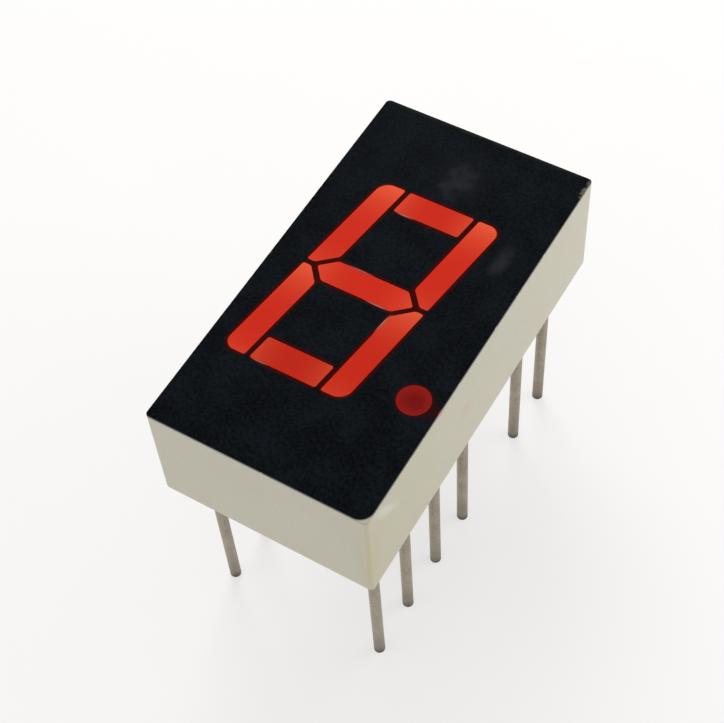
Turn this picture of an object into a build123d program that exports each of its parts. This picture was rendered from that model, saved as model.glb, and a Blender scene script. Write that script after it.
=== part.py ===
"""Seven-segment light display for one digit, with a decimal point at its lower right.

Millimetres. The housing's rear rim sits on z = 0 and the viewing face looks up +Z. +Y runs up the digit and
+X to its right, and the origin is the middle of the pin grid.
"""

import os
from math import radians, sqrt, tan

from build123d import *

# Pin grid: two rows of places, numbered down the left row and back up the right one
pin_pitch = 2.54
row_spacing = 7.62
row_pin_count = 7
PINOUT = {
    1: "a",
    2: "f",
    3: "common",
    6: "idle",
    7: "e",
    8: "d",
    9: "point",
    10: "c",
    11: "g",
    13: "b",
    14: "common",
}

# Pins: cut round wire, coined square where the board and the potting hold it
pin_diameter = 0.5
pin_length = 9.5
pin_coin_width = 0.4
pin_tail_height = 0.25

# Housing
body_height = 5.2
wall_thickness = 0.5
pin_side_margin = 0.59
pin_end_margin = 1.13
body_edge_radius = 0.2
recess_corner_radius = 0.15

# Moulding pockets that keep the reflector's walls even
core_wall_thickness = 0.5
core_front_thickness = 0.9
core_draft_angle = 3
tail_pocket_clearance = 0.06

# Black face
mask_thickness = 0.1

# Digit, drawn upright about its own middle and then slanted
digit_height = 10.16
digit_width = 5.56
digit_x = -0.64
digit_y = 0.02
slant_angle = 8
upright_stroke = 1.05
level_stroke = 1.17
bar_gap = 0.24
mitre_tip = 0.36
bar_outer_radius = 0.4
bar_corner_chamfer = 0.06

# Decimal point, whose throat leans in towards the board's middle
point_x = 3.75
point_y = -3.75
point_diameter = 1.38
point_throat_shift = 0.4

# Board, copper and potting
potting_recess = 0.25
potting_depth = 1.2
board_thickness = 0.8
board_clearance = 0.08
board_hole_clearance = 0.02
copper_thickness = 0.035
track_width = 0.2
track_clearance = 0.2
land_margin = 0.16
bond_pad_width = 0.25
die_pad_margin = 0.05
solder_height = 0.18
solder_draft_angle = 30

# Light-emitting dice and their wires
chip_width = 0.25
chip_height = 0.22
wire_width = 0.04
wire_rise = 0.3
wire_shoulder = 0.12
wire_span = 0.5
throat_margin = 0.12

# Sizes that follow
recess_width = row_spacing + 2 * pin_side_margin
recess_length = (row_pin_count - 1) * pin_pitch + 2 * pin_end_margin
body_width = recess_width + 2 * wall_thickness
body_length = recess_length + 2 * wall_thickness
board_bottom = potting_recess + potting_depth
board_top = board_bottom + board_thickness
reflector_back = board_top + copper_thickness
board_hole_width = pin_coin_width + 2 * board_hole_clearance
land_width = board_hole_width + 2 * land_margin
tail_pocket_width = land_width + 2 * tail_pocket_clearance
tail_pocket_depth = pin_tail_height + tail_pocket_clearance
die_pad_width = chip_width + 2 * die_pad_margin
throat_width = chip_width + 2 * throat_margin
point_throat_radius = (wire_span + chip_width) / 2 + throat_margin
wire_top = chip_height + wire_rise

half_width = digit_width / 2
half_height = digit_height / 2
bar_inner = half_width - upright_stroke
level_end = bar_inner - bar_gap
waist = bar_gap / 2
mitre_start = half_width - mitre_tip
mitre_top = waist + mitre_start - bar_inner
cross_tip = mitre_start - bar_gap * (sqrt(2) - 1 / 2)
cross_shoulder = cross_tip - level_stroke / 2

# Corners of the three kinds of bar on the upright digit, with the radius of those that are rounded
UPPER_LEFT_BAR = [
    (-half_width, half_height, bar_outer_radius),
    (-bar_inner, half_height, 0),
    (-bar_inner, mitre_top, 0),
    (-mitre_start, waist, 0),
    (-half_width, waist, 0),
]
TOP_BAR = [
    (-level_end, half_height, 0),
    (level_end, half_height, 0),
    (level_end, half_height - level_stroke, 0),
    (-level_end, half_height - level_stroke, 0),
]
CROSS_BAR = [
    (-cross_tip, 0, 0),
    (-cross_shoulder, level_stroke / 2, 0),
    (cross_shoulder, level_stroke / 2, 0),
    (cross_tip, 0, 0),
    (cross_shoulder, -level_stroke / 2, 0),
    (-cross_shoulder, -level_stroke / 2, 0),
]


def flipped(corners, across, along):
    """The same bar turned over across and along the upright digit by signs."""
    return [(across * x, along * y, radius) for x, y, radius in corners]


# Corners of each bar, and the way its wire runs from die to bond pad, both on the upright digit
BARS = {
    "a": (TOP_BAR, (-1, 0)),
    "b": (flipped(UPPER_LEFT_BAR, -1, 1), (0, 1)),
    "c": (flipped(UPPER_LEFT_BAR, -1, -1), (0, 1)),
    "d": (flipped(TOP_BAR, 1, -1), (1, 0)),
    "e": (flipped(UPPER_LEFT_BAR, 1, -1), (0, -1)),
    "f": (UPPER_LEFT_BAR, (0, 1)),
    "g": (CROSS_BAR, (1, 0)),
}
LIGHTS = [*BARS, "point"]


def slanted(x, y):
    """A point of the upright digit, leaned over and set in its place on the face."""
    return digit_x + x + y * tan(radians(slant_angle)), digit_y + y


def pin_place(number):
    """Middle of one place of the pin grid."""
    on_left = number <= row_pin_count
    step = number - 1 if on_left else 2 * row_pin_count - number
    side = -1 if on_left else 1
    return side * row_spacing / 2, ((row_pin_count - 1) / 2 - step) * pin_pitch


def bar_middle(name):
    """Middle of a bar's bounding box on the upright digit."""
    across = [x for x, y, radius in BARS[name][0]]
    along = [y for x, y, radius in BARS[name][0]]
    return (min(across) + max(across)) / 2, (min(along) + max(along)) / 2


def die_and_pad(name):
    """Places on the board of a light's die and of the bond pad that its wire runs to."""
    half = wire_span / 2
    if name == "point":
        x = row_spacing / 2 - point_throat_shift
        y = (net_pins["point"][1] + net_pins["c"][1]) / 2
        return (x, y + half), (x, y - half)
    x, y = bar_middle(name)
    run_x, run_y = BARS[name][1]
    return slanted(x - half * run_x, y - half * run_y), slanted(x + half * run_x, y + half * run_y)


def bar_outline(name, height, share):
    """A bar's window at a height, drawn in towards the bar's middle by a share."""
    middle_x, middle_y = bar_middle(name)
    corners = {}
    for x, y, radius in BARS[name][0]:
        place = slanted(middle_x + share * (x - middle_x), middle_y + share * (y - middle_y))
        corners[place] = share * radius
    with BuildSketch(Plane.XY.offset(height)) as outline:
        Polygon(*corners, align=None)
        for place, radius in corners.items():
            corner = outline.vertices().sort_by_distance(place)[0]
            if radius:
                fillet(corner, radius)
            else:
                chamfer(corner, share * bar_corner_chamfer)
    return outline.sketch


def point_outline(height, radius, middle):
    """A round outline at a height."""
    with BuildSketch(Plane.XY.offset(height)) as outline:
        with Locations(middle):
            Circle(radius)
    return outline.sketch


def light_form(name):
    """One light's space: a throat round its die, widening to its window and flush with the black face."""
    if name == "point":
        die, pad = die_and_pad(name)
        throat = point_outline(reflector_back, point_throat_radius, (die[0], (die[1] + pad[1]) / 2))
        window = point_outline(body_height, point_diameter / 2, (point_x, point_y))
    else:
        stroke = level_stroke if BARS[name][1][0] else upright_stroke
        throat = bar_outline(name, reflector_back, throat_width / stroke)
        window = bar_outline(name, body_height, 1)
    with BuildPart() as form:
        loft([throat, window], ruled=True)
        extrude(window, amount=mask_thickness)
    return form.part


def write(piece, name):
    """Label a finished piece and write it under its own name."""
    piece.part.label = name
    export_step(piece.part, f"parts/{name}.step")


os.makedirs("parts", exist_ok=True)
pin_places = [pin_place(number) for number in PINOUT]
net_pins = {net: pin_place(number) for number, net in PINOUT.items()}
light_forms = {name: light_form(name) for name in LIGHTS}

# Moulded housing: outer box, rear recess, tapered light cavities and moulding pockets
with BuildPart() as reflector_housing:
    with BuildSketch():
        RectangleRounded(body_width, body_length, body_edge_radius)
    extrude(amount=body_height)
    with BuildSketch():
        RectangleRounded(recess_width, recess_length, recess_corner_radius)
    extrude(amount=reflector_back, mode=Mode.SUBTRACT)
    with BuildSketch(Plane.XY.offset(reflector_back)):
        with Locations(*pin_places):
            Rectangle(tail_pocket_width, tail_pocket_width)
    extrude(amount=tail_pocket_depth, mode=Mode.SUBTRACT)
    core_depth = body_height - core_front_thickness - reflector_back
    core_width = row_spacing - tail_pocket_width - 2 * core_wall_thickness
    core_end = recess_length / 2 - core_wall_thickness
    loop_side = bar_inner - core_wall_thickness
    loop_near = level_stroke / 2 + core_wall_thickness
    loop_far = half_height - level_stroke - core_wall_thickness
    with BuildSketch(Plane.XY.offset(reflector_back)):
        for side in (1, -1):
            core_start = side * digit_y + half_height + core_wall_thickness
            with Locations((0, side * (core_start + core_end) / 2)):
                Rectangle(core_width, core_end - core_start)
            Polygon(
                slanted(-loop_side, side * loop_near),
                slanted(loop_side, side * loop_near),
                slanted(loop_side, side * loop_far),
                slanted(-loop_side, side * loop_far),
                align=None,
            )
    extrude(amount=core_depth, taper=core_draft_angle, mode=Mode.SUBTRACT)
    for form in light_forms.values():
        add(form, mode=Mode.SUBTRACT)
write(reflector_housing, "reflector_housing")

# Black face with a window for each light
with BuildPart() as face_mask:
    with BuildSketch(Plane.XY.offset(body_height)):
        RectangleRounded(body_width, body_length, body_edge_radius)
    extrude(amount=mask_thickness)
    for form in light_forms.values():
        add(form, mode=Mode.SUBTRACT)
write(face_mask, "face_mask")

# Circuit board under the reflector, with a hole for each pin
with BuildPart() as circuit_board:
    with BuildSketch(Plane.XY.offset(board_bottom)):
        RectangleRounded(
            recess_width - 2 * board_clearance,
            recess_length - 2 * board_clearance,
            recess_corner_radius,
        )
        with Locations(*pin_places):
            Rectangle(board_hole_width, board_hole_width, mode=Mode.SUBTRACT)
    extrude(amount=board_thickness)
write(circuit_board, "circuit_board")

# Copper: all dice share one net, and each bond pad runs to its own pin
dice = {name: die_and_pad(name)[0] for name in LIGHTS}
bond_pads = {name: die_and_pad(name)[1] for name in LIGHTS}
left_common, right_common = [pin_place(number) for number, net in PINOUT.items() if net == "common"]
idle_x, idle_y = net_pins["idle"]
past_idle_pin = (idle_x + land_width / 2 + track_clearance + track_width / 2, idle_y)
upper_loop = slanted(0, half_height / 2)
lower_loop = slanted(0, -half_height / 2)
common_runs = [
    (left_common, dice["f"]),
    (dice["f"], upper_loop),
    (upper_loop, dice["a"]),
    (upper_loop, dice["b"]),
    (upper_loop, dice["g"]),
    (dice["a"], right_common),
    (dice["g"], lower_loop),
    (lower_loop, dice["e"]),
    (lower_loop, dice["d"]),
    (lower_loop, dice["c"]),
    (dice["c"], dice["point"]),
]
light_runs = [(bond_pads[name], net_pins[name]) for name in LIGHTS if name != "e"]
light_runs += [(bond_pads["e"], past_idle_pin), (past_idle_pin, net_pins["e"])]
with BuildPart() as copper_tracks:
    with BuildSketch(Plane.XY.offset(board_top)):
        for start, end in common_runs + light_runs:
            with BuildLine():
                Line(start, end)
            trace(line_width=track_width)
        with Locations(upper_loop, lower_loop, past_idle_pin):
            Rectangle(track_width, track_width)
        with Locations(*dice.values()):
            Rectangle(die_pad_width, die_pad_width)
        with Locations(*bond_pads.values()):
            Rectangle(bond_pad_width, bond_pad_width)
        with Locations(*pin_places):
            Rectangle(land_width, land_width)
            Rectangle(pin_coin_width, pin_coin_width, mode=Mode.SUBTRACT)
    extrude(amount=copper_thickness)
write(copper_tracks, "copper_tracks")

# Each light: its die on the copper, a looped wire to the bond pad and resin cast over both
for name in LIGHTS:
    with BuildPart() as led_chip:
        with BuildSketch(Plane.XY.offset(reflector_back)):
            with Locations(dice[name]):
                Rectangle(chip_width, chip_width)
        extrude(amount=chip_height)
    write(led_chip, f"led_chip_{name}")

    reach = Vector(*bond_pads[name]) - Vector(*dice[name])
    loop_plane = Plane((*dice[name], reflector_back), x_dir=reach, z_dir=reach.cross(Vector(0, 0, 1)))
    with BuildPart() as bond_wire:
        with BuildLine(loop_plane):
            Polyline(
                (0, chip_height),
                (0, wire_top - wire_shoulder),
                (wire_shoulder, wire_top),
                (reach.length - wire_shoulder, wire_top),
                (reach.length, wire_top - wire_shoulder),
                (reach.length, 0),
            )
        with BuildSketch(Plane((*dice[name], reflector_back + chip_height), x_dir=reach)):
            Rectangle(wire_width, wire_width)
        sweep(transition=Transition.RIGHT)
    write(bond_wire, f"bond_wire_{name}")

    with BuildPart() as light_guide:
        add(light_forms[name])
        add(led_chip.part, mode=Mode.SUBTRACT)
        add(bond_wire.part, mode=Mode.SUBTRACT)
    write(light_guide, "decimal_point" if name == "point" else f"segment_{name}")

# Pins: round wire below the rim and a square shank up through potting, board and copper
for number, place in zip(PINOUT, pin_places):
    with BuildPart() as pin:
        with BuildSketch(Plane.XY.offset(-pin_length)):
            with Locations(place):
                Circle(pin_diameter / 2)
        extrude(amount=pin_length)
        with BuildSketch():
            with Locations(place):
                Rectangle(pin_coin_width, pin_coin_width)
        extrude(amount=reflector_back + pin_tail_height)
    write(pin, f"pin_{number}")

# Solder banked round each pin's tail on its land
with BuildPart() as solder_joints:
    with BuildSketch(Plane.XY.offset(reflector_back)):
        with Locations(*pin_places):
            Rectangle(land_width, land_width)
    extrude(amount=solder_height, taper=solder_draft_angle)
    with BuildSketch(Plane.XY.offset(reflector_back)):
        with Locations(*pin_places):
            Rectangle(pin_coin_width, pin_coin_width)
    extrude(amount=solder_height, mode=Mode.SUBTRACT)
write(solder_joints, "solder_joints")

# Resin poured behind the board, round the square shanks
with BuildPart() as back_potting:
    with BuildSketch(Plane.XY.offset(potting_recess)):
        RectangleRounded(recess_width, recess_length, recess_corner_radius)
        with Locations(*pin_places):
            Rectangle(pin_coin_width, pin_coin_width, mode=Mode.SUBTRACT)
    extrude(amount=potting_depth)
write(back_potting, "back_potting")
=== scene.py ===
"""Looks of a one-digit seven-segment light display.

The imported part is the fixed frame. Each of its pieces gets a finish, moulded and cut edges are softened, and
the resin behind the board is poured with its curved rim. A floor, soft light and a camera complete the
picture.
"""

import logging
import math
from dataclasses import dataclass, field
from enum import Enum
from functools import reduce

import bmesh
import bpy
from mathutils import Matrix, Vector


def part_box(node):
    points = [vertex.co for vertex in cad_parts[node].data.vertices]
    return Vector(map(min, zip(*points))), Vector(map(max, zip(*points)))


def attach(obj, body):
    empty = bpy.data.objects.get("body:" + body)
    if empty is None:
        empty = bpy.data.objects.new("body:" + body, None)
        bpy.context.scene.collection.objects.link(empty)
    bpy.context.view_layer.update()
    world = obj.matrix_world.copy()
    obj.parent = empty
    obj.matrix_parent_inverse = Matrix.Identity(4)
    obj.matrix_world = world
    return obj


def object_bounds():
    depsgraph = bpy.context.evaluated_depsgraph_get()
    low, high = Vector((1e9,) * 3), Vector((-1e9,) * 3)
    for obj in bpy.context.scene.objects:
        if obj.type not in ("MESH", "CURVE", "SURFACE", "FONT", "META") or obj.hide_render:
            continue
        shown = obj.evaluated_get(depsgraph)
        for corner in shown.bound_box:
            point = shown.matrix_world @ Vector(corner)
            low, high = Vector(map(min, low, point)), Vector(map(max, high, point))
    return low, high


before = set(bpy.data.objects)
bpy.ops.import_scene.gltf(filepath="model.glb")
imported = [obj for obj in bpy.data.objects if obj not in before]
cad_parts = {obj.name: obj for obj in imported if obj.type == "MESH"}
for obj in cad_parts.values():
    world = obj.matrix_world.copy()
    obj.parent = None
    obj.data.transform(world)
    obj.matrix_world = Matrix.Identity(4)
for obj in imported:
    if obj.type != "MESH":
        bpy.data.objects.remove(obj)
CAD_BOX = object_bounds()

MM = 0.001
BODY = "root"
LOG = logging.getLogger("display")

WHITE = (1.0, 1.0, 1.0)
NOISE_MIDDLE = 0.5
NOISE_RANGE = (0.3, 0.7)
WELD_GAP = 0.001
FLAT_ANGLE = math.radians(1.0)
SHARP_ANGLE = math.radians(40.0)

Colour = tuple[float, float, float]
Point = tuple[float, float, float]
Socket = bpy.types.NodeSocket
Feed = float | Colour | Socket


class Op(Enum):
    """Sums that a Math node works out."""

    ADD = "ADD"
    TAKE = "SUBTRACT"
    TIMES = "MULTIPLY"
    SIZE = "ABSOLUTE"
    POWER = "POWER"
    LEAST = "MINIMUM"
    MOST = "MAXIMUM"


class VectorOp(Enum):
    """Sums that a Vector Math node works out."""

    TAKE = "SUBTRACT"
    TIMES = "MULTIPLY"
    OVER = "DIVIDE"
    SIZE = "ABSOLUTE"
    MOST = "MAXIMUM"
    LENGTH = "LENGTH"


class Run(Enum):
    """Way that a light bar lies on the digit, as the axis along it."""

    LEVEL = "X"
    UPRIGHT = "Y"


def display_colour(red: int, green: int, blue: int) -> Colour:
    """Linear colour of a display colour.

    Args:
        red: Red from 0 to 255.
        green: Green from 0 to 255.
        blue: Blue from 0 to 255.

    Returns:
        The three linear values.
    """
    shares = [value / 255 for value in (red, green, blue)]
    return tuple(s / 12.92 if s <= 0.04045 else ((s + 0.055) / 1.055) ** 2.4 for s in shares)


def mm_box(node: str) -> tuple[Vector, Vector]:
    """Lowest and highest corner of a CAD node, in millimetres."""
    low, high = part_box(node)
    return low / MM, high / MM


@dataclass(frozen=True)
class Mark:
    """A soft patch of another colour on a surface, such as a smudge, a scuff or a worn spot.

    Attributes:
        middle: Middle of the patch, in millimetres.
        reach: Half sizes of the patch, in millimetres.
        colour: Linear colour of the patch.
        strength: Share of the colour at the middle.
        ragged: How far noise breaks the patch's edge, as a share of its size.
        grain: Noise waves in a millimetre.
        lean: Degrees that the patch leans round the X axis, from Y towards Z.
    """

    middle: Point
    reach: Point
    colour: Colour
    strength: float = 1.0
    ragged: float = 0.6
    grain: float = 1.5
    lean: float = 0.0


@dataclass(frozen=True)
class Window:
    """A window of the black face on the unslanted digit, in millimetres.

    Attributes:
        middle: Middle of the window, with the slant taken out.
        half: Half sizes inside the corners' rounding, both zero on a round window.
        radius: Rounding of a bar's corners, or radius of a round window.
        is_round: Whether it is the round window, which has no slant.
        lap: Larger window that shares one corner, where the ink laps over that corner in a wider round.
        glow: Strength of the red fringe beside it, which is full where the fringe passes 1.
    """

    middle: tuple[float, float]
    half: tuple[float, float]
    radius: float = 0.0
    is_round: bool = False
    lap: "Window | None" = None
    glow: float = 3.0


@dataclass(frozen=True)
class Surface:
    """What a finish feeds to its shader.

    Attributes:
        colour: Base colour.
        roughness: Roughness.
        height: Height of the bump, from 0 to 1.
    """

    colour: Socket
    roughness: Socket
    height: Socket


class Graph:
    """Writer of shader nodes, with every place in millimetres."""

    def __init__(self, tree: bpy.types.NodeTree) -> None:
        """Start from an empty tree."""
        self.tree = tree
        tree.nodes.clear()

    def node(
        self, kind: str, feeds: dict[str | int, Feed] | None = None, **settings: object
    ) -> bpy.types.Node:
        """Add a node.

        Args:
            kind: Blender's name of the node type.
            feeds: Values or links for its inputs, by name or by number.
            settings: Properties of the node itself.

        Returns:
            The node.
        """
        made = self.tree.nodes.new(kind)
        for name, value in settings.items():
            setattr(made, name, value.value if isinstance(value, Enum) else value)
        for key, value in (feeds or {}).items():
            self.feed(made.inputs[key], value)
        return made

    def feed(self, socket: Socket, value: Feed) -> None:
        """Link a socket, or set its value.

        Args:
            socket: Input to feed.
            value: Number, colour or output to feed it from.
        """
        if isinstance(value, Socket):
            self.tree.links.new(value, socket)
        elif socket.type == "RGBA":
            socket.default_value = (*value, 1.0)
        else:
            socket.default_value = value

    def sum(self, op: Op, first: Feed, second: Feed = 0.0) -> Socket:
        """One Math node."""
        return self.node("ShaderNodeMath", {0: first, 1: second}, operation=op).outputs[0]

    def vector(self, op: VectorOp, first: Feed, second: Feed = (0.0, 0.0, 0.0)) -> Socket:
        """One Vector Math node, with its number out where the sum is a length."""
        made = self.node("ShaderNodeVectorMath", {0: first, 1: second}, operation=op)
        return made.outputs["Value" if op is VectorOp.LENGTH else "Vector"]

    def place(self) -> Socket:
        """Place on the part, in millimetres of its own frame."""
        source = self.node("ShaderNodeTexCoord").outputs["Object"]
        return self.vector(VectorOp.OVER, source, (MM, MM, MM))

    def along(self, run: Run) -> Socket:
        """Share of the way along a piece's own box."""
        source = self.node("ShaderNodeTexCoord").outputs["Generated"]
        return self.node("ShaderNodeSeparateXYZ", {0: source}).outputs[run.value]

    def split(self, place: Socket) -> tuple[Socket, Socket, Socket]:
        """The three parts of a place."""
        return tuple(self.node("ShaderNodeSeparateXYZ", {0: place}).outputs)

    def noise(self, place: Socket, waves: float, detail: float = 3.0) -> Socket:
        """Cloudy noise about one half, with so many waves in a millimetre."""
        feeds = {"Vector": place, "Scale": waves, "Detail": detail}
        return self.node("ShaderNodeTexNoise", feeds).outputs["Fac"]

    def ramp(self, value: Feed, start: float, end: float, low: float = 0.0, high: float = 1.0) -> Socket:
        """Smooth step between two values.

        Args:
            value: Number to map.
            start: Where the step starts.
            end: Where it ends.
            low: Result at the start and before it.
            high: Result at the end and past it.

        Returns:
            The stepped number.
        """
        feeds = {"Value": value, "From Min": start, "From Max": end, "To Min": low, "To Max": high}
        return self.node("ShaderNodeMapRange", feeds, interpolation_type="SMOOTHSTEP").outputs[0]

    def mix(self, share: Feed, first: Feed, second: Feed) -> Socket:
        """Mix of two colours."""
        feeds = {0: share, 6: first, 7: second}
        return self.node("ShaderNodeMix", feeds, data_type="RGBA").outputs[2]

    def patch(self, place: Socket, mark: Mark) -> Socket:
        """Share of a mark at each place.

        Args:
            place: Place in millimetres.
            mark: The mark.

        Returns:
            Its strength at the middle, fading to nothing at its reach.
        """
        feeds = {"Vector": place, "Center": mark.middle, "Angle": math.radians(-mark.lean)}
        level = self.node("ShaderNodeVectorRotate", feeds, rotation_type="X_AXIS").outputs[0]
        offset = self.vector(VectorOp.TAKE, level, mark.middle)
        gap = self.vector(VectorOp.LENGTH, self.vector(VectorOp.OVER, offset, mark.reach))
        waver = self.sum(Op.TAKE, self.noise(place, mark.grain), NOISE_MIDDLE)
        uneven = self.sum(Op.ADD, gap, self.sum(Op.TIMES, waver, 2 * mark.ragged))
        return self.ramp(uneven, 1.0, 0.0, 0.0, mark.strength)

    def marked(self, place: Socket, colour: Socket, marks: tuple[Mark, ...]) -> Socket:
        """Lay marks over a colour.

        Args:
            place: Place in millimetres.
            colour: Colour without the marks.
            marks: The marks, in the order in which they are laid.

        Returns:
            The marked colour.
        """
        for mark in marks:
            colour = self.mix(self.patch(place, mark), colour, mark.colour)
        return colour

    def from_rim(self, place: Socket, half: tuple[float, float]) -> Socket:
        """Distance from each place to the rim of a rectangle about the origin.

        Args:
            place: Place in millimetres.
            half: Half sizes of the rectangle, in millimetres.

        Returns:
            The distance in millimetres, below zero outside.
        """
        x, y, _ = self.split(place)
        from_side = self.sum(Op.TAKE, half[0], self.sum(Op.SIZE, x))
        from_end = self.sum(Op.TAKE, half[1], self.sum(Op.SIZE, y))
        return self.sum(Op.LEAST, from_side, from_end)

    def gap(self, place: Socket, window: Window, slant: float) -> Socket:
        """Distance from each place of the face to a window.

        Args:
            place: Place in millimetres.
            window: Window on the unslanted digit.
            slant: Tangent of the digit's slant.

        Returns:
            The distance in millimetres, zero or less inside the window.
        """
        x, y, _ = self.split(place)
        across = x if window.is_round else self.sum(Op.TAKE, x, self.sum(Op.TIMES, y, slant))
        level = self.node("ShaderNodeCombineXYZ", {0: across, 1: y}).outputs[0]
        offset = self.vector(VectorOp.SIZE, self.vector(VectorOp.TAKE, level, (*window.middle, 0.0)))
        past = self.vector(VectorOp.MOST, self.vector(VectorOp.TAKE, offset, (*window.half, 0.0)))
        gap = self.sum(Op.TAKE, self.vector(VectorOp.LENGTH, past), window.radius)
        return self.sum(Op.MOST, gap, self.gap(place, window.lap, slant)) if window.lap else gap

    def glow(self, gap: Socket, reach: float, strength: float) -> Socket:
        """Share of a fringe that fades fast over its reach."""
        faded = self.sum(Op.POWER, self.ramp(gap, reach, 0.0), 2.0)
        return self.sum(Op.TIMES, faded, strength)

    def fold(self, op: Op, values: list[Socket]) -> Socket:
        """One sum over many values."""
        return reduce(lambda first, second: self.sum(op, first, second), values)


@dataclass(frozen=True)
class Finish:
    """A finish painted by nodes on one shader.

    Attributes:
        name: Name of the material.
        metallic: 1 for bare metal.
        specular: Shader's specular level.
        relief: Depth of the bump, in millimetres.
        subsurface: Share of light that scatters under the surface.
        scatter: How far it scatters, in millimetres.
    """

    name: str
    metallic: float = 0.0
    specular: float = 0.5
    relief: float = 0.01
    subsurface: float = 0.0
    scatter: float = 0.3

    def paint(self, graph: Graph) -> Surface:
        """Colour, roughness and height, which each finish works out its own way."""
        raise NotImplementedError

    def material(self) -> bpy.types.Material:
        """Make the finish as a Blender material.

        Returns:
            The new material.
        """
        made = bpy.data.materials.new(self.name)
        made.use_nodes = True
        graph = Graph(made.node_tree)
        surface = self.paint(graph)
        bump = graph.node("ShaderNodeBump", {"Height": surface.height, "Distance": self.relief * MM})
        shader = graph.node(
            "ShaderNodeBsdfPrincipled",
            {
                "Base Color": surface.colour,
                "Roughness": surface.roughness,
                "Normal": bump.outputs[0],
                "Metallic": self.metallic,
                "Specular IOR Level": self.specular,
                "Subsurface Weight": self.subsurface,
                "Subsurface Scale": self.scatter * MM,
            },
        )
        graph.node("ShaderNodeOutputMaterial", {"Surface": shader.outputs[0]})
        return made


@dataclass(frozen=True)
class CloudedFinish(Finish):
    """A finish with a broad cloudy tone, a fine grain and marks.

    Attributes:
        dark: Colour in the dark clouds.
        light: Colour in the light clouds.
        waves: Clouds in a millimetre.
        grain: Fine noise waves in a millimetre.
        grain_share: Share of the tone that the fine noise makes, the rest being clouds.
        gloss: Roughness in the dark clouds and in the light ones.
        stretch: Scale of the noise along each axis, under 1 for streaks.
        marks: Patches of other colours.
    """

    dark: Colour = (0.1, 0.1, 0.1)
    light: Colour = (0.2, 0.2, 0.2)
    waves: float = 0.5
    grain: float = 12.0
    grain_share: float = 0.4
    gloss: tuple[float, float] = (0.45, 0.55)
    stretch: Point = (1.0, 1.0, 1.0)
    marks: tuple[Mark, ...] = ()

    def paint(self, graph: Graph) -> Surface:
        """Cloudy colour with its marks, over a fine grain.

        Args:
            graph: Graph to write it in.

        Returns:
            What the shader is fed.
        """
        place = graph.place()
        streaked = graph.vector(VectorOp.TIMES, place, self.stretch)
        clouds = graph.ramp(graph.noise(streaked, self.waves), *NOISE_RANGE)
        grain = graph.ramp(graph.noise(streaked, self.grain), *NOISE_RANGE)
        fine = graph.sum(Op.TIMES, grain, self.grain_share)
        speckle = graph.sum(Op.ADD, graph.sum(Op.TIMES, clouds, 1 - self.grain_share), fine)
        colour = graph.marked(place, graph.mix(speckle, self.dark, self.light), self.marks)
        roughness = graph.ramp(speckle, 0.0, 1.0, *self.gloss)
        return Surface(colour, roughness, grain)


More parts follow.
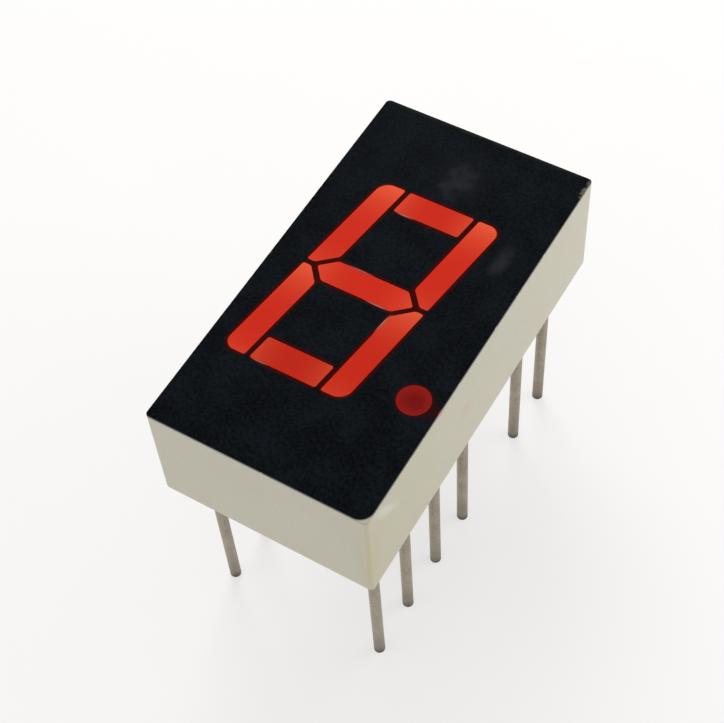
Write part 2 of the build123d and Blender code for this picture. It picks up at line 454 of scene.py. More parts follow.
@dataclass(frozen=True)
class BlackInk(CloudedFinish):
    """Matte black printed over the face, worn at its rim and thin beside the windows.

    Attributes:
        windows: Windows on the unslanted digit.
        slant: Tangent of the digit's slant.
        fringe: Colour of the thin ink beside a window.
        fringe_reach: How far that colour shows, in millimetres.
        bare: Colour of the moulding where the ink is missing.
        hairlines: Stretches of window edge where a hair of the moulding shows.
        hairline_width: Width of those hairs, in millimetres.
        hairline_core: Share of that width over which a hair is full.
        half_face: Half width and half length of the face, in millimetres.
        rim_reach: How far the rim is worn, in millimetres.
        rim_start: Share of that reach at which the wear begins.
        rim_waves: Noise waves of the worn rim in a millimetre.
        rim_waver: How far that noise moves the rim, in reaches.
        worn_corner: Rounded rectangle past whose one corner the ink is rubbed off.
        worn_colour: Colour that shows there.
        blur: Half width of the edge there, in millimetres.
        ink_bottom: Height to which the ink runs down the side.
        side_blur: Width of the ink's edge there, in reaches.
    """

    windows: tuple[Window, ...] = ()
    slant: float = 0.0
    fringe: Colour = (0.05, 0.0, 0.0)
    fringe_reach: float = 0.2
    bare: Colour = (0.5, 0.5, 0.5)
    hairlines: tuple[Mark, ...] = ()
    hairline_width: float = 0.05
    hairline_core: float = 0.6
    half_face: tuple[float, float] = (5.0, 9.0)
    rim_reach: float = 0.05
    rim_start: float = 0.4
    rim_waves: float = 4.0
    rim_waver: float = 5.0
    worn_corner: Window = Window((0.0, 0.0), (9.0, 9.0))
    worn_colour: Colour = (0.4, 0.4, 0.4)
    blur: float = 0.05
    ink_bottom: float = 5.0
    side_blur: float = 0.2

    def paint(self, graph: Graph) -> Surface:
        """Clouded black, with a red fringe, bare hairs and a worn rim.

        Args:
            graph: Graph to write it in.

        Returns:
            What the shader is fed.
        """
        surface = super().paint(graph)
        place = graph.place()
        gaps = {window: graph.gap(place, window, self.slant) for window in self.windows}
        glows = [graph.glow(gap, self.fringe_reach, window.glow) for window, gap in gaps.items()]
        colour = graph.mix(graph.fold(Op.ADD, glows), surface.colour, self.fringe)
        nearest = graph.fold(Op.LEAST, list(gaps.values()))
        hair = graph.ramp(nearest, self.hairline_width, self.hairline_core * self.hairline_width)
        for stretch in self.hairlines:
            shown = graph.sum(Op.TIMES, hair, graph.patch(place, stretch))
            colour = graph.mix(shown, colour, stretch.colour)
        past_corner = graph.gap(place, self.worn_corner, 0.0)
        colour = graph.mix(graph.ramp(past_corner, -self.blur, self.blur), colour, self.worn_colour)
        colour = graph.mix(self.worn(graph, place), colour, self.bare)
        return Surface(colour, surface.roughness, surface.height)

    def worn(self, graph: Graph, place: Socket) -> Socket:
        """Share of the ink that is gone along the rim and down the side.

        Args:
            graph: Graph of the finish.
            place: Place in millimetres.

        Returns:
            1 where the moulding shows, 0 where the ink is whole.
        """
        waver = graph.sum(Op.TAKE, graph.noise(place, self.rim_waves), NOISE_MIDDLE)
        edge = graph.from_rim(place, self.half_face)
        uneven = graph.sum(Op.ADD, edge, graph.sum(Op.TIMES, waver, self.rim_waver * self.rim_reach))
        rim = graph.ramp(uneven, -self.rim_start * self.rim_reach, -self.rim_reach)
        down = graph.sum(Op.ADD, graph.split(place)[2], graph.sum(Op.TIMES, waver, self.rim_reach))
        side = graph.ramp(down, self.ink_bottom, self.ink_bottom - self.side_blur * self.rim_reach)
        return graph.sum(Op.MOST, rim, side)


@dataclass(frozen=True)
class TintedResin(Finish):
    """Red cast resin that looks pale where its white cavity comes near the surface and deep over the die.

    Attributes:
        run: Way that the bar lies.
        deep: Colour over the die.
        pale: Colour where the cavity is shallowest.
        deepest: Share of the way along the bar at which it is deepest.
        rise: How fast the cavity rises towards the ends, as a power.
        end_share: Share of the pale colour at the far end.
        waves: Clouds in a millimetre.
        cloudiness: How far the clouds change the tone.
        grain: Bump waves in a millimetre.
        gloss: Roughness in the clouds' dark and light parts.
        window: The bar's window, whose ink may lap over one corner.
        slant: Tangent of the digit's slant.
        ink: Colour of that ink.
        fringe: Colour of the ink's thin edge.
        fringe_reach: How far that colour shows, in millimetres.
        blur: Half width of the ink's edge, in millimetres.
    """

    run: Run = Run.LEVEL
    deep: Colour = (0.5, 0.02, 0.01)
    pale: Colour = (0.7, 0.08, 0.03)
    deepest: float = 0.5
    rise: float = 2.6
    end_share: float = 1.0
    waves: float = 2.0
    cloudiness: float = 0.2
    grain: float = 6.0
    gloss: tuple[float, float] = (0.35, 0.45)
    window: Window = Window((0.0, 0.0), (1.0, 1.0))
    slant: float = 0.0
    ink: Colour = (0.0, 0.0, 0.0)
    fringe: Colour = (0.05, 0.0, 0.0)
    fringe_reach: float = 0.2
    blur: float = 0.02

    def paint(self, graph: Graph) -> Surface:
        """Deep red over the die, paler towards both ends, with a faint cloudiness.

        Args:
            graph: Graph to write it in.

        Returns:
            What the shader is fed.
        """
        place = graph.place()
        clouds = graph.noise(place, self.waves)
        from_die = graph.sum(Op.SIZE, graph.sum(Op.TAKE, graph.along(self.run), self.deepest))
        far = graph.sum(Op.TIMES, from_die, 1 / max(self.deepest, 1 - self.deepest))
        rising = graph.sum(Op.TIMES, graph.sum(Op.POWER, far, self.rise), self.end_share)
        cloudy = graph.sum(Op.TIMES, graph.sum(Op.TAKE, clouds, NOISE_MIDDLE), self.cloudiness)
        shallow = graph.sum(Op.MOST, graph.sum(Op.ADD, rising, cloudy), 0.0)
        colour = graph.mix(shallow, self.deep, self.pale)
        if self.window.lap:
            gap = graph.gap(place, self.window.lap, self.slant)
            glow = graph.glow(gap, self.fringe_reach, self.window.glow)
            edge = graph.mix(glow, self.ink, self.fringe)
            colour = graph.mix(graph.ramp(gap, -self.blur, self.blur), colour, edge)
        roughness = graph.ramp(clouds, *NOISE_RANGE, *self.gloss)
        return Surface(colour, roughness, graph.noise(place, self.grain))


@dataclass(frozen=True)
class PointResin(Finish):
    """Deep red resin of the round point, a little paler towards its rim.

    Attributes:
        middle: Middle of the point, in millimetres.
        radius: Radius of the point, in millimetres.
        deep: Colour at the middle.
        pale: Colour at the rim.
        core: Share of the radius inside which it is deepest.
        waves: Clouds in a millimetre.
        grain: Bump waves in a millimetre.
        gloss: Roughness in the clouds' dark and light parts.
    """

    middle: Point = (0.0, 0.0, 0.0)
    radius: float = 0.7
    deep: Colour = (0.18, 0.007, 0.005)
    pale: Colour = (0.3, 0.015, 0.013)
    core: float = 0.2
    waves: float = 1.6
    grain: float = 6.0
    gloss: tuple[float, float] = (0.4, 0.5)

    def paint(self, graph: Graph) -> Surface:
        """Deep red in the middle, paler towards the rim.

        Args:
            graph: Graph to write it in.

        Returns:
            What the shader is fed.
        """
        place = graph.place()
        clouds = graph.noise(place, self.waves)
        offset = graph.vector(VectorOp.TAKE, place, self.middle)
        out = graph.vector(VectorOp.LENGTH, graph.vector(VectorOp.TIMES, offset, (1.0, 1.0, 0.0)))
        waver = graph.sum(Op.TIMES, graph.sum(Op.TAKE, clouds, NOISE_MIDDLE), self.radius)
        uneven = graph.sum(Op.ADD, out, waver)
        colour = graph.mix(graph.ramp(uneven, self.core * self.radius, self.radius), self.deep, self.pale)
        roughness = graph.ramp(clouds, *NOISE_RANGE, *self.gloss)
        return Surface(colour, roughness, graph.noise(place, self.grain))


def dress(node: str, material: bpy.types.Material) -> bpy.types.Object:
    """Give a CAD node one material.

    Args:
        node: Name of the node.
        material: Material to show.

    Returns:
        The node's object.
    """
    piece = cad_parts[node]
    if not piece.material_slots:
        piece.data.materials.append(material)
    for slot in piece.material_slots:
        slot.link = "OBJECT"
        slot.material = material
    return piece


def soften(piece: bpy.types.Object, width: float, segments: int = 3) -> None:
    """Round off a piece's sharp edges.

    Args:
        piece: Object to soften.
        width: Width of the rounding, in millimetres.
        segments: Faces across the rounding.
    """
    weld = piece.modifiers.new("weld", "WELD")
    weld.merge_threshold = WELD_GAP * MM
    flat = piece.modifiers.new("flat_faces", "DECIMATE")
    flat.decimate_type = "DISSOLVE"
    flat.angle_limit = FLAT_ANGLE
    edge = piece.modifiers.new("soft_edges", "BEVEL")
    edge.width = width * MM
    edge.segments = segments
    edge.limit_method = "ANGLE"
    edge.angle_limit = SHARP_ANGLE
    edge.harden_normals = True


@dataclass
class Housing:
    """The moulded housing with its light cavities.

    Attributes:
        edge_rounding: Width of the softened edges, in millimetres.
        tone_dark: Colour of the plastic in its dark clouds.
        tone_light: Colour of the plastic in its light clouds.
        aged: Colour beside the near corner.
        painted_edge_highlight: Colour of the painted highlight along the near upright edge.
        yellowed: Colour of the right wall's front end.
        scuffed: Colour of the scuff on the right wall.
        stained: Colour of the stain on the right wall.
        bled: Colour under the red bleed of the face.
    """

    edge_rounding: float = 0.04
    tone_dark: Colour = display_colour(204, 201, 184)
    tone_light: Colour = display_colour(216, 213, 197)
    aged: Colour = display_colour(203, 195, 163)
    painted_edge_highlight: Colour = display_colour(228, 220, 190)
    yellowed: Colour = display_colour(211, 206, 176)
    scuffed: Colour = display_colour(228, 226, 212)
    stained: Colour = display_colour(214, 190, 176)
    bled: Colour = display_colour(198, 112, 102)

    def finish(self) -> CloudedFinish:
        """Warm grey moulded plastic, yellowed and scuffed near one corner, with a painted highlight along the
        near upright edge.

        Returns:
            The finish.
        """
        low, high = mm_box("reflector_housing")
        right, front, top = high.x, low.y, high.z
        return CloudedFinish(
            name="warm_grey_plastic",
            specular=0.35,
            relief=0.004,
            subsurface=0.15,
            scatter=0.25,
            dark=self.tone_dark,
            light=self.tone_light,
            waves=0.3,
            grain=12.0,
            grain_share=0.75,
            gloss=(0.5, 0.62),
            marks=(
                Mark((right, front + 0.2, 2.0), (0.9, 0.9, 3.2), self.aged, 0.7, 0.3, 0.8),
                # Painted highlight along the near upright edge, where the rounded corner gets less light than
                # both walls.
                Mark((right, front, 2.6), (0.35, 0.35, 9.0), self.painted_edge_highlight, 0.55, 0.2, 1.0),
                Mark((right, front, 2.0), (0.6, 10.0, 9.0), self.yellowed, 0.5, 0.2, 0.5),
                Mark(
                    (right, front + 1.35, top - 0.9),
                    (0.5, 1.9, 0.42),
                    self.scuffed,
                    strength=0.9,
                    ragged=0.25,
                    lean=-45.0,
                ),
                Mark((right, -1.7, 2.7), (0.6, 0.9, 0.8), self.stained, 0.4, 0.5, 1.0),
                Mark((right, -3.75, top), (0.3, 0.5, 0.16), self.bled, 0.9, 0.4, 2.0),
            ),
        )

    def build(self) -> list[bpy.types.Object]:
        """Dress the moulding and soften its edges.

        Returns:
            The moulding's object.
        """
        shell = dress("reflector_housing", self.finish().material())
        soften(shell, self.edge_rounding)
        return [shell]


@dataclass
class Face:
    """The black face with its windows.

    Attributes:
        slant_angle: Degrees that the digit slants.
        fringe_reach: Width of the red fringe beside a window, in millimetres.
        corner: Radius of a bar's corners, in millimetres.
        lap_radius: Radius of the ink's wider round over a bar's outer corner.
        lap_reach: How far a rounded rectangle goes on from its one corner that counts.
        worn_radius: Radius of the ink that is left at the face's near corner.
        flatness: How far below a guide's top a point still counts as its top.
        point_glow: Strength of the fringe beside the round window.
        ink_depth: How far the ink runs down the side, in millimetres.
        bars: Letters of the bars.
        outer_corners: Side and end of each bar's corner that is an outer corner of the digit.
        ink: Colours of the ink in its dark and light clouds.
        lap_ink: Colour of the ink over a bar's corner.
        bare: Colour of the moulding along the rim.
        hair: Colour of the moulding beside a window.
        fringe: Colour of the thin ink beside a window.
        rubbed: Colour of the rubbed far corner.
        worn: Colour past the worn near corner.
        bleed: Colour of the red bleed at the rim.
        dusty: Colour of the dust at the far end.
        smudge: Colour of the two smudges.
        painted_rim_highlight: Colour of the olive painted highlight along the far rim.
        maroon: Colour between the round window and the rim.
    """

    slant_angle: float = 8.0
    fringe_reach: float = 0.2
    corner: float = 0.22
    lap_radius: float = 0.56
    lap_reach: float = 9.0
    worn_radius: float = 0.6
    flatness: float = 0.01
    point_glow: float = 0.6
    ink_depth: float = 0.03
    bars: str = "abcdefg"
    outer_corners: dict[str, tuple[int, int]] = field(
        default_factory=lambda: {"b": (1, 1), "c": (1, -1), "e": (-1, -1), "f": (-1, 1)}
    )
    ink: tuple[Colour, Colour] = (display_colour(0, 1, 3), display_colour(19, 24, 29))
    lap_ink: Colour = display_colour(16, 21, 25)
    bare: Colour = display_colour(196, 194, 182)
    hair: Colour = display_colour(150, 138, 130)
    fringe: Colour = display_colour(58, 4, 3)
    rubbed: Colour = display_colour(112, 110, 107)
    worn: Colour = display_colour(184, 179, 162)
    bleed: Colour = display_colour(128, 34, 32)
    dusty: Colour = display_colour(22, 24, 29)
    smudge: Colour = display_colour(41, 43, 49)
    painted_rim_highlight: Colour = display_colour(38, 37, 28)
    maroon: Colour = display_colour(50, 8, 8)

    def slope(self) -> float:
        """Tangent of the digit's slant."""
        return math.tan(math.radians(self.slant_angle))

    def extent(self, node: str, slope: float = 0.0) -> tuple[tuple[float, ...], tuple[float, ...]]:
        """Middle and half sizes of a light guide's flat top, in millimetres.

        Args:
            node: Name of the guide.
            slope: Tangent of the slant to take out.

        Returns:
            The middle and the half sizes, across and along.
        """
        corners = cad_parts[node].data.vertices
        top = max(corner.co.z for corner in corners)
        rim = [corner.co / MM for corner in corners if top - corner.co.z < self.flatness * MM]
        ranges = [point.x - point.y * slope for point in rim], [point.y for point in rim]
        middle = tuple((min(places) + max(places)) / 2 for places in ranges)
        return middle, tuple((max(places) - min(places)) / 2 for places in ranges)

    def bar(self, letter: str) -> Window:
        """The window of one bar, with the wider round of the ink at its outer corner.

        Args:
            letter: Letter of the bar.

        Returns:
            The window, on the unslanted digit.
        """
        middle, reach = self.extent(f"segment_{letter}", self.slope())
        lap = None
        if letter in self.outer_corners:
            inside = self.lap_radius + self.lap_reach
            sizes = zip(middle, reach, self.outer_corners[letter])
            pivot = tuple(place + sign * (half - inside) for place, half, sign in sizes)
            lap = Window(pivot, (self.lap_reach, self.lap_reach), self.lap_radius)
        return Window(middle, tuple(half - self.corner for half in reach), self.corner, lap=lap)

    def point(self) -> Window:
        """The round window."""
        middle, reach = self.extent("decimal_point")
        return Window(middle, (0.0, 0.0), reach[0], is_round=True, glow=self.point_glow)

    def worn_corner(self) -> Window:
        """Rounded rectangle whose one corner is what is left of the ink at the face's near corner.

        Returns:
            The rectangle, as a window without slant.
        """
        low, high = mm_box("face_mask")
        inside = self.worn_radius + self.lap_reach
        return Window((high.x - inside, low.y + inside), (self.lap_reach, self.lap_reach), self.worn_radius)

    def finish(self) -> BlackInk:
        """Matte blue-black ink with two smudges, a red bleed at one edge, worn corners and a painted highlight
        along the far rim.

        Returns:
            The finish.
        """
        low, high = mm_box("face_mask")
        top, right, back, front = high.z, high.x, high.y, low.y
        point_x, point_y = self.point().middle
        hair_reach = (0.5, 0.3, 0.3)
        return BlackInk(
            name="matte_black_ink",
            specular=0.015,
            relief=0.003,
            dark=self.ink[0],
            light=self.ink[1],
            waves=0.8,
            grain=7.0,
            grain_share=0.6,
            gloss=(0.5, 0.6),
            marks=(
                Mark((0.0, 7.0, top), (2.0, 1.8, 1.0), self.dusty, 0.6, 0.8, 0.6),
                Mark((0.0, 6.55, top), (0.9, 1.5, 1.0), self.smudge, 0.6, 0.9, 2.0),
                Mark((3.55, 3.6, top), (0.5, 1.1, 1.0), self.smudge, 0.7, 0.6, 1.6),
                # Painted highlight along the far rim, where light catches the mask's edge.
                Mark((0.0, back, top), (12.0, 0.2, 0.3), self.painted_rim_highlight, 0.9, 0.6, 2.0),
                Mark((point_x + 0.9, point_y - 0.1, top), (0.8, 0.7, 0.5), self.maroon, 0.6, 0.3, 1.0),
                Mark((right, point_y, top), (0.08, 0.34, 0.3), self.bleed, 0.8, 0.5, 3.0),
                Mark((right, back - 0.5, top), (0.2, 0.9, 0.3), self.rubbed, 0.8, 1.2, 5.0),
            ),
            windows=(*map(self.bar, self.bars), self.point()),
            slant=self.slope(),
            fringe=self.fringe,
            fringe_reach=self.fringe_reach,
            bare=self.bare,
            hairlines=(
                Mark((-1.05, 3.85, top), hair_reach, self.hair, 1.0, 0.2),
                Mark((-1.2, 0.75, top), (0.9, 0.3, 0.3), self.hair, 0.8, 0.2),
                Mark((0.3, -0.5, top), (0.7, 0.3, 0.3), self.hair, 1.0, 0.2),
                Mark((0.9, -1.2, top), (0.4, 0.6, 0.3), self.hair, 1.0, 0.2),
                Mark((-2.4, -4.95, top), hair_reach, self.hair, 0.9, 0.2),
            ),
            half_face=(high.x, high.y),
            rim_reach=0.035,
            worn_corner=self.worn_corner(),
            worn_colour=self.worn,
            ink_bottom=top - self.ink_depth,
        )

    def build(self) -> list[bpy.types.Object]:
        """Dress the black face."""
        return [dress("face_mask", self.finish().material())]


@dataclass
class LightGuides:
    """The cast resin bars and the round point.

    Attributes:
        level_bars: Letters of the bars that lie across the digit.
        specular: Shader's specular level.
        deep: Colour of a bar over its die.
        pale: Colour of a bar at its ends.
        point_deep: Colour of the point's middle.
        point_pale: Colour of the point's rim.
        glow: How bright each bar looks, by its letter.
        face: The face that the guides fill.
    """

    level_bars: str = "adg"
    specular: float = 0.03
    deep: Colour = display_colour(202, 37, 16)
    pale: Colour = display_colour(230, 86, 53)
    point_deep: Colour = display_colour(116, 10, 5)
    point_pale: Colour = display_colour(140, 19, 14)
    glow: dict[str, float] = field(
        default_factory=lambda: {"a": 0.96, "b": 1.0, "c": 0.95, "d": 0.87, "e": 1.01, "f": 1.02, "g": 1.02}
    )
    face: Face = field(default_factory=Face)

    def bar_finish(self, letter: str) -> TintedResin:
        """Orange-red resin of one bar.

        Args:
            letter: Letter of the bar.

        Returns:
            The finish, as bright as that bar looks.
        """
        level = letter in self.level_bars
        return TintedResin(
            name=f"red_resin_{letter}",
            specular=self.specular,
            relief=0.003,
            run=Run.LEVEL if level else Run.UPRIGHT,
            deep=tuple(self.glow[letter] * value for value in self.deep),
            pale=tuple(self.glow[letter] * value for value in self.pale),
            deepest=0.5 if level else 0.38,
            end_share=0.5 if level else 1.0,
            window=self.face.bar(letter),
            slant=self.face.slope(),
            ink=self.face.lap_ink,
            fringe=self.face.fringe,
            fringe_reach=self.face.fringe_reach,
        )

    def point_finish(self) -> PointResin:
        """Darker resin of the round point.

        Returns:
            The finish.
        """
        point = self.face.point()
        return PointResin(
            name="deep_red_resin",
            specular=self.specular,
            relief=0.003,
            middle=(*point.middle, 0.0),
            radius=point.radius,
            deep=self.point_deep,
            pale=self.point_pale,
        )

    def build(self) -> list[bpy.types.Object]:
        """Dress the seven bars and the point."""
        bars = [dress(f"segment_{letter}", self.bar_finish(letter).material()) for letter in self.glow]
        return [*bars, dress("decimal_point", self.point_finish().material())]


@dataclass
class Pins:
    """The wire pins.

    Attributes:
        cut_rounding: Width of the rounding at the cut ends, in millimetres.
        tip_length: Length of the dark tip, in millimetres.
        dulled_length: Length over which the wire is dulled, in millimetres.
        dark: Colour of the wire in its dark clouds.
        light: Colour of the wire in its light clouds.
        dulled: Colour of the dulled wire.
        tip: Colour of the tip.
    """

    cut_rounding: float = 0.03
    tip_length: float = 0.55
    dulled_length: float = 2.6
    dark: Colour = display_colour(141, 133, 116)
    light: Colour = display_colour(182, 174, 156)
    dulled: Colour = display_colour(122, 114, 96)
    tip: Colour = display_colour(70, 63, 53)

    def nodes(self) -> list[str]:
        """Names of the pins, in their order."""
        found = [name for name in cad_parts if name.startswith("pin_")]
        return sorted(found, key=lambda name: int(name.split("_")[1]))

    def finish(self, node: str) -> CloudedFinish:
        """Dull tinned wire, mottled, darker towards its cut end.

        Args:
            node: Name of the pin.

        Returns:
            The finish.
        """
        low, high = mm_box(node)
        end = ((low.x + high.x) / 2, (low.y + high.y) / 2, low.z)
        dulled = Mark(end, (2.0, 2.0, self.dulled_length), self.dulled, 0.75, 0.4, 1.5)
        tip = Mark(end, (1.0, 1.0, self.tip_length), self.tip, 0.9, 0.4, 2.0)
        return CloudedFinish(
            name=f"tinned_wire_{node}",
            metallic=0.75,
            specular=0.4,
            relief=0.002,
            dark=self.dark,
            light=self.light,
            waves=1.6,
            grain=9.0,
            grain_share=0.6,
            gloss=(0.4, 0.58),
            stretch=(1.0, 1.0, 0.8),
            marks=(dulled, tip),
        )

    def build(self) -> list[bpy.types.Object]:
        """Dress each pin and round off its cut end.

        Returns:
            The pins' objects.
        """
        pieces = []
        for node in self.nodes():
            pin = dress(node, self.finish(node).material())
            soften(pin, self.cut_rounding)
            pieces.append(pin)
        return pieces


@dataclass
class LightEngine:
    """What the housing hides: the board, its copper, the dice, their wires and the solder."""

    def finishes(self) -> dict[str, CloudedFinish]:
        """Finishes of the hidden pieces.

        Returns:
            Each finish, by the start of its nodes' names.
        """
        return {
            "circuit_board": CloudedFinish(
                name="board_laminate",
                relief=0.004,
                dark=display_colour(168, 156, 104),
                light=display_colour(188, 177, 128),
                waves=1.2,
                grain=9.0,
                stretch=(1.0, 0.3, 1.0),
            ),
            "copper_tracks": CloudedFinish(
                name="plated_copper",
                metallic=1.0,
                dark=display_colour(196, 152, 84),
                light=display_colour(226, 186, 112),
                waves=2.0,
                gloss=(0.25, 0.4),
            ),
            "led_chip": CloudedFinish(
                name="light_die",
                dark=display_colour(74, 58, 52),
                light=display_colour(112, 86, 74),
                waves=6.0,
                grain=30.0,
                gloss=(0.15, 0.3),
            ),
            "bond_wire": CloudedFinish(
                name="gold_wire",
                metallic=1.0,
                dark=display_colour(222, 172, 76),
                light=display_colour(242, 200, 104),
                waves=8.0,
                grain=40.0,
                gloss=(0.18, 0.28),
            ),
            "solder_joints": CloudedFinish(
                name="solder",
                metallic=1.0,
                dark=display_colour(150, 150, 150),
                light=display_colour(186, 186, 184),
                waves=3.0,
                gloss=(0.25, 0.45),
            ),
        }

    def build(self) -> list[bpy.types.Object]:
        """Dress every hidden piece.

        Returns:
            The pieces' objects.
        """
        pieces = []
        for start, finish in self.finishes().items():
            material = finish.material()
            pieces += [dress(node, material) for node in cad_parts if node.startswith(start)]
        return pieces


@dataclass
class BackPotting:
    """The resin poured behind the board, drawn up along the housing's walls and round the pins.

    Attributes:
        climb: How far the resin climbs a wall or a pin, in millimetres.
        spread: How far from there it starts to climb.
        curve: Power of the climbing curve.
        root: How deep the climbing resin goes into the flat one.
        climb_steps: Faces across the climbing curve.
        corner_steps: Faces round each corner.
        recess_corner: Radius of the recess's corners.
        shank_half: Half width of a pin's square shank.
        shank_corner: Radius of the shank's corners.
        crease: Degrees at which the climbing resin keeps a sharp edge.
    """

    climb: float = 0.13
    spread: float = 0.19
    curve: float = 2.5
    root: float = 0.02
    climb_steps: int = 6
    corner_steps: int = 4
    recess_corner: float = 0.15
    shank_half: float = 0.2
    shank_corner: float = 0.02
    crease: float = 50.0

    def finish(self) -> CloudedFinish:
        """Dull dark red resin with cloudy patches.

        Returns:
            The finish.
        """
        return CloudedFinish(
            name="potting_resin",
            specular=0.4,
            relief=0.006,
            dark=display_colour(96, 24, 18),
            light=display_colour(126, 36, 26),
            waves=0.4,
            grain=3.0,
            gloss=(0.2, 0.35),
        )

    def section(self) -> list[tuple[float, float]]:
        """Closed section of the climbing resin.

        Returns:
            Its points, as distance from the wall and height over the flat resin, in millimetres.
        """
        shares = [step / self.climb_steps for step in range(self.climb_steps + 1)]
        curve = [(self.spread * share, self.climb * (1 - share) ** self.curve) for share in shares]
        return [(0.0, -self.root), *curve, (self.spread, -self.root)]

    def outline(self, half: Vector, radius: float) -> list[Vector]:
        """Rounded rectangle about the origin.

        Args:
            half: Half sizes, in millimetres.
            radius: Radius of the corners, in millimetres.

        Returns:
            Its points, in order round it.
        """
        points = []
        for quarter, (side, end) in enumerate(((1, 1), (-1, 1), (-1, -1), (1, -1))):
            corner = Vector((side * (half.x - radius), end * (half.y - radius)))
            for step in range(self.corner_steps + 1):
                angle = math.pi / 2 * (quarter + step / self.corner_steps)
                points.append(corner + radius * Vector((math.cos(angle), math.sin(angle))))
        return points

    def add_collar(
        self, mesh: bmesh.types.BMesh, middle: Vector, half: Vector, radius: float, out: int
    ) -> None:
        """Add the resin that climbs along one outline.

        Args:
            mesh: Mesh to add it to.
            middle: Middle of the outline on the flat resin, in millimetres.
            half: Half sizes of the outline.
            radius: Radius of its corners.
            out: 1 where the resin lies outside the outline, -1 where it lies inside.
        """
        rows = []
        for away, height in self.section():
            grown = half + out * Vector((away, away))
            line = self.outline(grown, radius + max(out * away, 0.0))
            places = [(middle + Vector((*point, -height))) * MM for point in line]
            rows.append([mesh.verts.new(place) for place in places])
        for row, after in zip(rows, rows[1:] + rows[:1]):
            for corner in range(len(row)):
                near = corner - 1
                mesh.faces.new((row[near], row[corner], after[corner], after[near]))

    def build_rim(self, resin: bpy.types.Material) -> bpy.types.Object:
        """Model the climbing resin along the walls and round every pin.

        Args:
            resin: The resin's material.

        Returns:
            The new piece.
        """
        low, high = mm_box("back_potting")
        mesh = bmesh.new()
        self.add_collar(mesh, Vector((0.0, 0.0, low.z)), high.xy, self.recess_corner, -1)
        shank = Vector((self.shank_half, self.shank_half))
        for node in Pins().nodes():
            middle = sum(mm_box(node), Vector()) / 2
            self.add_collar(mesh, Vector((middle.x, middle.y, low.z)), shank, self.shank_corner, 1)
        bmesh.ops.recalc_face_normals(mesh, faces=mesh.faces)
        data = bpy.data.meshes.new("potting_rim")
        mesh.to_mesh(data)
        mesh.free()
        data.shade_smooth()
        data.set_sharp_from_angle(angle=math.radians(self.crease))
        data.materials.append(resin)
        rim = bpy.data.objects.new("potting_rim", data)
        bpy.context.scene.collection.objects.link(rim)
        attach(rim, BODY)
        return rim

    def build(self) -> list[bpy.types.Object]:
        """Dress the flat resin and add what climbs."""
        resin = self.finish().material()
        return [dress("back_potting", resin), self.build_rim(resin)]


@dataclass(frozen=True)
class Lamp:
    """A soft square lamp that looks at the part's middle.

    Attributes:
        name: Name of the lamp.
        azimuth: Degrees round from the front, towards the right.
        elevation: Degrees above the floor.
        distance: Distance in millimetres.
        size: Side of the square in millimetres.
        level: Light that it adds to a matte white surface facing it, where 1 is white.
        colour: Colour of the light.
    """

    name: str
    azimuth: float
    elevation: float
    distance: float
    size: float
    level: float
    colour: Colour = WHITE


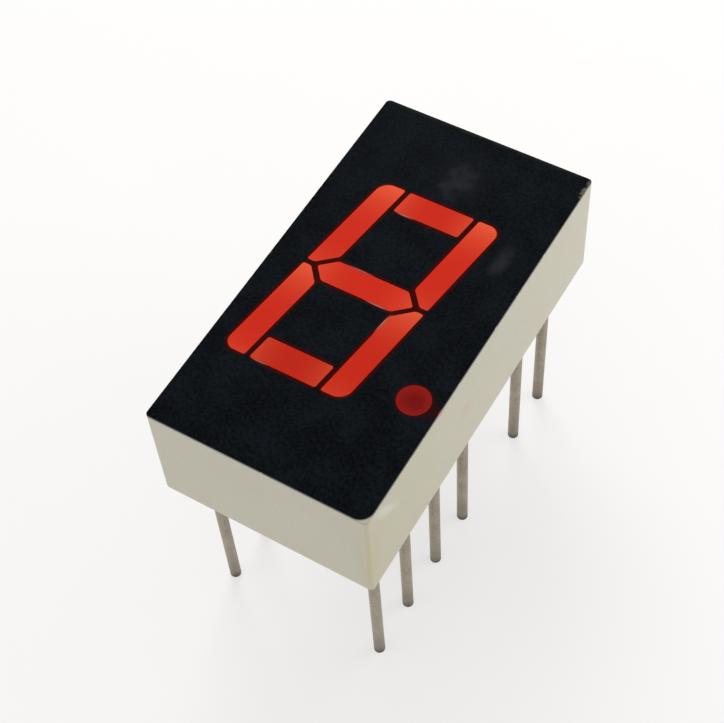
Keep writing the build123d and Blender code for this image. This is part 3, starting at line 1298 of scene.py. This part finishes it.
@dataclass
class Studio:
    """Floor, light and camera.

    Attributes:
        floor_size: Side of the floor, in millimetres.
        floor_gap: Gap between the pins' tips and the floor.
        floor_white: Share of plain white in the floor under the part.
        whitening: Distances between which the floor turns to plain white.
        paper: Colours of the floor in its dark and light clouds.
        paper_waves: Clouds of the floor in a millimetre.
        sky_level: Level of the light from all round.
        sky_tint: Colour of that light.
        lens: Focal length, in millimetres.
        sensor: Width of the sensor, in millimetres.
        aim: Point that the camera looks at, in millimetres.
        azimuth: Degrees of the camera round from the front, towards the right.
        elevation: Degrees of the camera above the floor.
        distance: Distance from the camera to its aim, in millimetres.
        roll: Degrees that the camera leans over.
        clip: Nearest and farthest things in view, in camera distances.
        lamps: The lamps.
    """

    floor_size: float = 4000.0
    floor_gap: float = 0.01
    floor_white: float = 0.6
    whitening: tuple[float, float] = (20.0, 90.0)
    paper: tuple[Colour, Colour] = (display_colour(246, 244, 240), display_colour(252, 251, 249))
    paper_waves: float = 0.05
    sky_level: float = 0.57
    sky_tint: Colour = (1.0, 0.995, 0.985)
    lens: float = 80.1
    sensor: float = 36.0
    aim: Point = (-0.964, -0.157, 0.0)
    azimuth: float = 34.72
    elevation: float = 55.42
    distance: float = 68.48
    roll: float = 5.01
    clip: tuple[float, float] = (0.01, 100.0)
    lamps: tuple[Lamp, ...] = (
        Lamp("key", 217.0, 46.0, 120.0, 60.0, 0.42, (1.0, 0.99, 0.97)),
        Lamp("side", 130.0, 30.0, 50.0, 36.0, 0.22, (1.0, 0.99, 0.96)),
        Lamp("front", 325.0, 35.0, 90.0, 70.0, 0.1, (1.0, 0.99, 0.97)),
    )

    def back(self, azimuth: float, elevation: float) -> Vector:
        """Unit vector from the part towards a viewer or lamp.

        Args:
            azimuth: Degrees round from the front, towards the right.
            elevation: Degrees above the floor.

        Returns:
            The vector.
        """
        round_angle, up_angle = math.radians(azimuth), math.radians(elevation)
        level = math.cos(up_angle)
        return Vector((math.sin(round_angle) * level, -math.cos(round_angle) * level, math.sin(up_angle)))

    def seen(self, graph: Graph) -> Socket:
        """Tell the rays that see a surface from those that light the part.

        Args:
            graph: Graph to write it in.

        Returns:
            1 on rays that the camera, metal or glass sees, and 0 on others.
        """
        path = graph.node("ShaderNodeLightPath").outputs
        mirrored = graph.sum(Op.MOST, path["Is Glossy Ray"], path["Is Transmission Ray"])
        return graph.sum(Op.MOST, path["Is Camera Ray"], mirrored)

    def build_floor(self) -> bpy.types.Object:
        """Lay the pale floor under the pins' tips.

        Returns:
            The floor's object.
        """
        half = self.floor_size / 2 * MM
        height = CAD_BOX[0].z - self.floor_gap * MM
        mesh = bpy.data.meshes.new("floor")
        corners = [(-half, -half, height), (half, -half, height), (half, half, height), (-half, half, height)]
        mesh.from_pydata(corners, [], [(0, 1, 2, 3)])
        floor = bpy.data.objects.new("floor", mesh)
        bpy.context.scene.collection.objects.link(floor)
        mesh.materials.append(self.floor_material())
        return floor

    def floor_material(self) -> bpy.types.Material:
        """White paper that keeps the part's shadow.

        Returns:
            The floor's material.
        """
        made = bpy.data.materials.new("white_paper")
        made.use_nodes = True
        graph = Graph(made.node_tree)
        clouds = graph.noise(graph.place(), self.paper_waves)
        tone = graph.mix(clouds, *self.paper)
        matte = graph.node("ShaderNodeBsdfDiffuse", {"Color": tone}).outputs[0]
        glow = graph.node("ShaderNodeEmission", {"Color": WHITE, "Strength": 1.0}).outputs[0]
        away = graph.vector(VectorOp.LENGTH, graph.place())
        whiter = graph.ramp(away, *self.whitening, self.floor_white, 1.0)
        share = graph.sum(Op.TIMES, self.seen(graph), whiter)
        mixed = graph.node("ShaderNodeMixShader", {0: share, 1: matte, 2: glow}).outputs[0]
        graph.node("ShaderNodeOutputMaterial", {"Surface": mixed})
        return made

    def build_sky(self) -> None:
        """Soft even light from all round, on a white background."""
        world = bpy.data.worlds.new("soft_sky")
        world.use_nodes = True
        graph = Graph(world.node_tree)
        soft = graph.node("ShaderNodeBackground", {"Color": self.sky_tint, "Strength": self.sky_level})
        white = graph.node("ShaderNodeBackground", {"Color": WHITE, "Strength": 1.0})
        feeds = {0: self.seen(graph), 1: soft.outputs[0], 2: white.outputs[0]}
        mixed = graph.node("ShaderNodeMixShader", feeds).outputs[0]
        graph.node("ShaderNodeOutputWorld", {"Surface": mixed})
        bpy.context.scene.world = world

    def build_lamp(self, lamp: Lamp) -> bpy.types.Object:
        """Hang one lamp.

        Args:
            lamp: The lamp's place, size and level.

        Returns:
            The lamp's object.
        """
        light = bpy.data.lights.new(lamp.name, "AREA")
        light.shape = "SQUARE"
        light.size = lamp.size * MM
        light.energy = lamp.level * math.pi * math.pi * (lamp.distance * MM) ** 2
        light.color = lamp.colour
        hung = bpy.data.objects.new(lamp.name, light)
        back = self.back(lamp.azimuth, lamp.elevation)
        hung.location = back * lamp.distance * MM
        hung.rotation_mode = "QUATERNION"
        hung.rotation_quaternion = (-back).to_track_quat("-Z", "Y")
        hung.visible_camera = False
        bpy.context.scene.collection.objects.link(hung)
        return hung

    def build_camera(self) -> bpy.types.Object:
        """Set the camera at the photograph's angle.

        Returns:
            The camera.
        """
        optics = bpy.data.cameras.new("camera")
        optics.lens = self.lens
        optics.sensor_width = self.sensor
        optics.clip_start, optics.clip_end = (times * self.distance * MM for times in self.clip)
        camera = bpy.data.objects.new("camera", optics)
        back = self.back(self.azimuth, self.elevation)
        place = (Vector(self.aim) + back * self.distance) * MM
        turned = (-back).to_track_quat("-Z", "Y").to_matrix().to_4x4()
        lean = Matrix.Rotation(math.radians(-self.roll), 4, "Z")
        camera.matrix_world = Matrix.Translation(place) @ turned @ lean
        bpy.context.scene.collection.objects.link(camera)
        bpy.context.scene.camera = camera
        return camera

    def build(self) -> list[bpy.types.Object]:
        """Set up the floor, the light and the camera.

        Returns:
            The floor's, the lamps' and the camera's objects.
        """
        bpy.context.scene.view_settings.view_transform = "Standard"
        self.build_sky()
        return [self.build_floor(), *map(self.build_lamp, self.lamps), self.build_camera()]


def main() -> None:
    """Build each sub-assembly in order and report its pieces."""
    logging.basicConfig(level=logging.INFO, format="%(name)s: %(message)s")
    for assembly in (Studio(), Housing(), Face(), LightGuides(), Pins(), LightEngine(), BackPotting()):
        for piece in assembly.build():
            LOG.info("%s: %s", type(assembly).__name__, piece.name)


if __name__ == "__main__":
    main()
